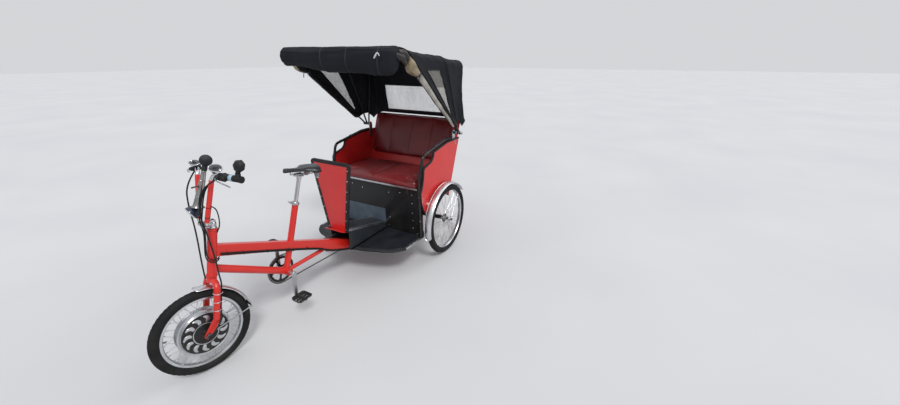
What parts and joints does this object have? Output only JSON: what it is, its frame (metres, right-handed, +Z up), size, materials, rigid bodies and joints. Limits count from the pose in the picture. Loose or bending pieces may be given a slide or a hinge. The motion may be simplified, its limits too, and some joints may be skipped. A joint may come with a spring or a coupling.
{
  "type": "cycle rickshaw",
  "caption": "Three-wheeled passenger cycle with a hub-motor front wheel, a cushioned seat between rear wheels and a folding hood on bows.",
  "frame": {"origin": "on the ground under the middle of the vehicle's length and width", "axes": "+X forward along the vehicle, +Y to the rider's left, +Z up"},
  "size_m": [2.625, 1.23, 1.8048],
  "materials": {
    "frame_paint": "gloss",
    "panel_paint": "satin",
    "fender_metal": "satin",
    "chrome": "polished",
    "alloy": "satin",
    "tyre": "matte",
    "motor": "satin",
    "black_steel": "oiled",
    "floor": "matte",
    "vinyl": "satin",
    "saddle_skin": "satin",
    "hood_fabric": "matte",
    "clear_sheet": "gloss",
    "curtain": "gloss",
    "rubber": "matte",
    "lens": "gloss"
  },
  "bodies": {
    "chassis": {"arm_rests": "chrome", "back_cushion": "vinyl", "back_panel": "panel_paint", "battery": "floor", "chains": "black_steel", "chassis_rails": "frame_paint", "dash_panel": "panel_paint", "floor_pan": "floor", "frame_cables": "rubber", "head_tube": "frame_paint", "hood_brackets": "alloy", "jackshaft": "motor", "lower_stay": "frame_paint", "lower_tube": "frame_paint", "main_tube": "frame_paint", "rear_axle": "motor", "rear_fenders": "fender_metal", "rear_lamps": "lens", "saddle": "saddle_skin", "seat_cushion": "vinyl", "seat_deck": "panel_paint", "seat_front": "panel_paint", "seat_post": "chrome", "seat_tube": "frame_paint", "side_panel_left": "panel_paint", "side_panel_right": "panel_paint", "tunnel": "floor"},
    "steering": {"fork": "frame_paint", "front_axle": "alloy", "stem": "chrome", "handlebar": "chrome", "risers": "frame_paint", "grips": "rubber", "brake_levers": "alloy", "horn": "chrome", "headlamp": "floor", "mirror": "floor", "front_fender": "fender_metal", "bar_cables": "rubber"},
    "front_hub": {"front_wheel": "alloy", "front_tyre": "tyre", "hub_motor": "motor"},
    "left_hub": {"rear_wheel_left": "alloy", "rear_tyre_left": "tyre"},
    "right_hub": {"rear_wheel_right": "alloy", "rear_tyre_right": "tyre"},
    "crank": {"crankset": "black_steel"},
    "left_pedal": {"pedal_left": "rubber"},
    "right_pedal": {"pedal_right": "rubber"},
    "hood_rear": {"rear_bow": "motor", "hood_back": "hood_fabric"},
    "hood_mid": {"mid_bow": "motor", "hood_cloth_rear": "hood_fabric"},
    "hood_front": {"front_bow": "motor", "hood_cloth_front": "hood_fabric", "hood_windows": "clear_sheet", "curtain_roll": "hood_fabric", "side_curtains": "curtain"}
  },
  "joints": [
    {"name": "steering_turn", "type": "hinge", "parent": "chassis", "child": "steering", "pos_m": [1.0822, 0, 0], "axis": [-0.2487, 0, 0.9686], "range_deg": [-31, 49]},
    {"name": "front_wheel_spin", "type": "hinge", "parent": "steering", "child": "front_hub", "pos_m": [1.05652, -0.00626, 0.25888], "axis": [0.1515, 0.9877, 0.0389], "continuous": true},
    {"name": "rear_left_spin", "type": "hinge", "parent": "chassis", "child": "left_hub", "pos_m": [-0.852, 0.56, 0.3275], "axis": [0, 1, 0], "continuous": true},
    {"name": "rear_right_spin", "type": "hinge", "parent": "chassis", "child": "right_hub", "pos_m": [-0.852, -0.56, 0.3275], "axis": [0, 1, 0], "continuous": true},
    {"name": "crank_spin", "type": "hinge", "parent": "chassis", "child": "crank", "pos_m": [0.478, 0, 0.337], "axis": [0, 1, 0], "continuous": true},
    {"name": "left_pedal_spin", "type": "hinge", "parent": "crank", "child": "left_pedal", "pos_m": [0.49264, 0.138, 0.16964], "axis": [0, 1, 0], "continuous": true},
    {"name": "right_pedal_spin", "type": "hinge", "parent": "crank", "child": "right_pedal", "pos_m": [0.46336, -0.138, 0.50436], "axis": [0, 1, 0], "continuous": true},
    {"name": "hood_fold", "type": "hinge", "parent": "chassis", "child": "hood_rear", "pos_m": [-1.11, 0, 1.085], "axis": [0, -1, 0], "range_deg": [0, 88], "deforming": ["hood_back"]},
    {"name": "hood_mid_fold", "type": "hinge", "parent": "hood_rear", "child": "hood_mid", "pos_m": [-1.11, 0, 1.085], "axis": [0, -1, 0], "range_deg": [0, 20], "deforming": ["hood_cloth_rear"]},
    {"name": "hood_front_fold", "type": "hinge", "parent": "hood_mid", "child": "hood_front", "pos_m": [-1.11, 0, 1.085], "axis": [0, -1, 0], "range_deg": [0, 18], "deforming": ["hood_cloth_front", "hood_windows"]}
  ],
  "couplings": [
    {"joint": "hood_mid_fold", "follows": "hood_fold", "ratio": 0.22726},
    {"joint": "hood_front_fold", "follows": "hood_fold", "ratio": 0.20454}
  ]
}
